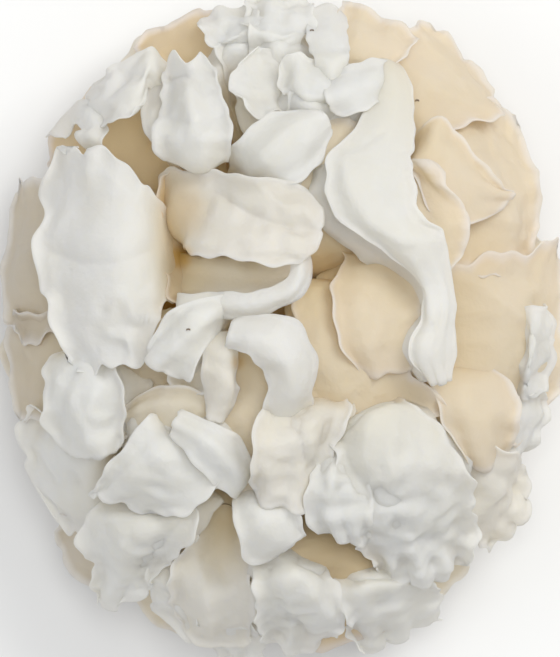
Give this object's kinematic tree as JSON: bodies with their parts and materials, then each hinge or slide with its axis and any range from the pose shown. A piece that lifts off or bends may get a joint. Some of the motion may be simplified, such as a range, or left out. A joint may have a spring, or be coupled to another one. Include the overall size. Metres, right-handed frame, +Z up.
{
  "type": "dried snow fungus",
  "caption": "Dried head of snow fungus: a dome of thin, ruffled, pale fronds that fork from a small amber foot, cut flat underneath so that it rests.",
  "frame": {"origin": "middle of the flat cut under the foot", "axes": "+Z up out of the rosette, +Y along its longer way across, the top of the picture"},
  "size_m": [0.0943, 0.114, 0.0611],
  "materials": {
    "frond_flesh": "thin dried jelly, pale ivory, translucent, with a soft satin surface",
    "foot_flesh": "dry, hard and amber brown"
  },
  "bodies": {
    "root": {"foot": "foot_flesh", "left_great_frond": "frond_flesh", "ribbon_frond": "frond_flesh", "centre_frond": "frond_flesh", "centre_scroll": "frond_flesh", "two_point_frond": "frond_flesh", "leaf_frond": "frond_flesh", "hook_frond": "frond_flesh", "lower_great_frond": "frond_flesh", "lower_middle_frond": "frond_flesh", "lower_left_frond": "frond_flesh", "lower_left_low_frond": "frond_flesh", "middle_left_frond": "frond_flesh", "middle_right_frond": "frond_flesh", "middle_low_frond": "frond_flesh", "small_pointed_frond": "frond_flesh", "bottom_cup_frond": "frond_flesh", "bottom_middle_frond": "frond_flesh", "left_middle_frond": "frond_flesh", "right_strand_frond": "frond_flesh", "right_lower_petal": "frond_flesh", "right_rim_frond": "frond_flesh", "top_middle_frond": "frond_flesh", "top_left_frond": "frond_flesh", "top_strand_frond": "frond_flesh", "upper_left_frond": "frond_flesh", "lower_left_rim_frond": "frond_flesh", "bottom_right_frond": "frond_flesh", "bottom_edge_frond": "frond_flesh", "right_lower_frond": "frond_flesh", "centre_right_frond": "frond_flesh", "centre_low_frond": "frond_flesh", "centre_wall_frond": "frond_flesh", "right_broad_frond": "frond_flesh", "right_upper_frond": "frond_flesh", "top_right_frond": "frond_flesh", "top_left_back_frond": "frond_flesh", "upper_left_back_frond": "frond_flesh", "far_left_frond": "frond_flesh", "left_lower_frond": "frond_flesh", "lower_left_back_frond": "frond_flesh", "left_inner_frond": "frond_flesh", "lower_inner_frond": "frond_flesh", "bottom_back_frond": "frond_flesh", "left_hollow_frond": "frond_flesh", "skirt_frond_01": "frond_flesh", "skirt_frond_02": "frond_flesh", "skirt_frond_03": "frond_flesh", "skirt_frond_04": "frond_flesh", "skirt_frond_05": "frond_flesh", "skirt_frond_06": "frond_flesh", "skirt_frond_07": "frond_flesh", "skirt_frond_08": "frond_flesh", "skirt_frond_09": "frond_flesh", "skirt_frond_10": "frond_flesh", "skirt_frond_11": "frond_flesh", "skirt_frond_12": "frond_flesh"}
  },
  "joints": []
}
